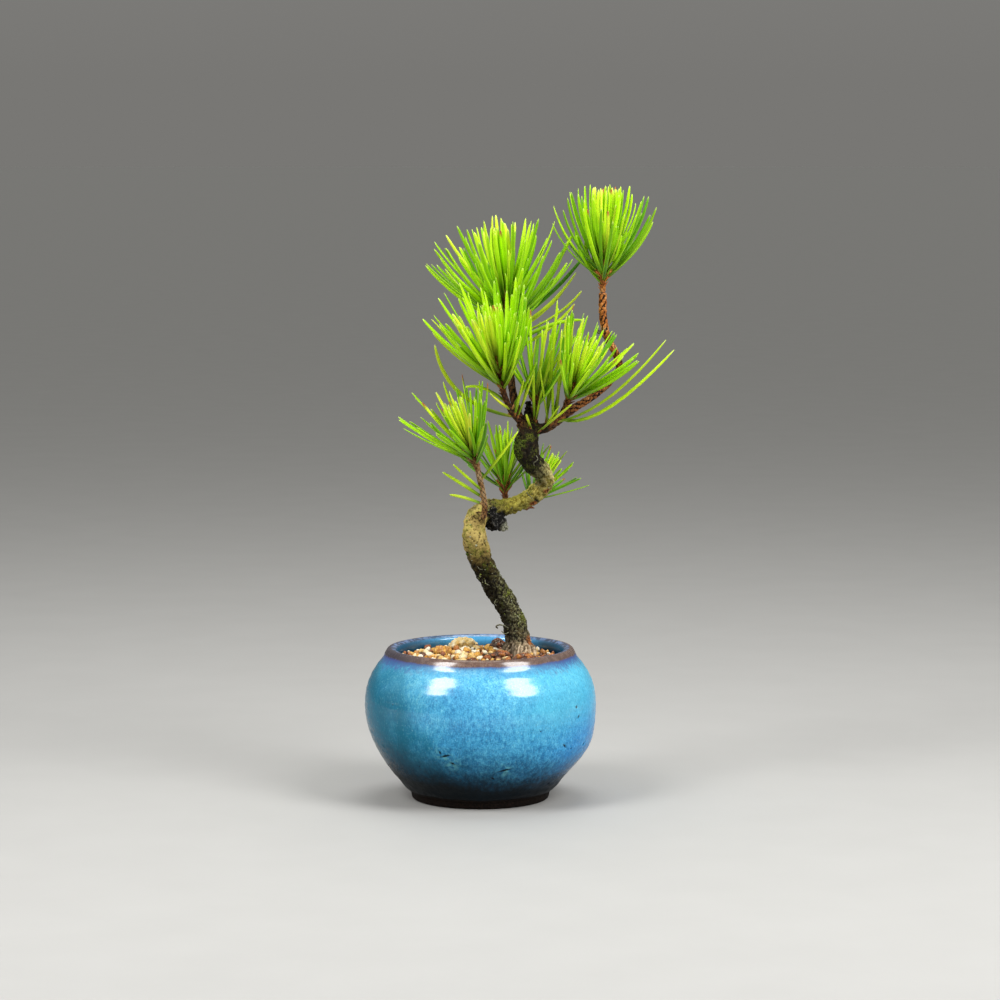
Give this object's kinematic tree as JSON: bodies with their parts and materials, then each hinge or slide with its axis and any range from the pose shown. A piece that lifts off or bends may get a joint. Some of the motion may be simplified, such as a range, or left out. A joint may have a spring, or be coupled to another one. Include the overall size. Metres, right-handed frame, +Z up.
{
  "type": "japanese black pine bonsai in a glazed pot",
  "caption": "Small pine bonsai with a curved trunk and brush-like sprays of needles, in a round glazed pot dressed with grit.",
  "frame": {"origin": "middle of the whole tree's footprint, at the foot ring's underside; the pot's axis is 14.6 mm towards -X and 1.4 mm towards +Y from it", "axes": "+Z up along the pot's axis, -Y towards the front that the picture shows, +X to the right as seen from there"},
  "size_m": [0.1212, 0.0948, 0.2433],
  "materials": {
    "glaze": "gloss",
    "mesh_plastic": "matte",
    "soil": "matte",
    "grit": "matte",
    "stones": "matte",
    "bark": "matte",
    "needles": "satin"
  },
  "bodies": {
    "root": {"pot": "glaze", "drain_mesh": "mesh_plastic", "soil": "soil", "grit": "grit", "stone_cream": "stones", "stone_brown": "stones", "stone_amber_left": "stones", "stone_amber_right": "stones", "stone_ochre": "stones", "trunk": "bark", "spray_front_left": "needles", "spray_right": "needles", "spray_low_left": "needles", "spray_top": "needles", "spray_upper_left": "needles", "spray_crown": "needles", "spray_back": "needles", "spray_back_right": "needles"}
  },
  "joints": []
}
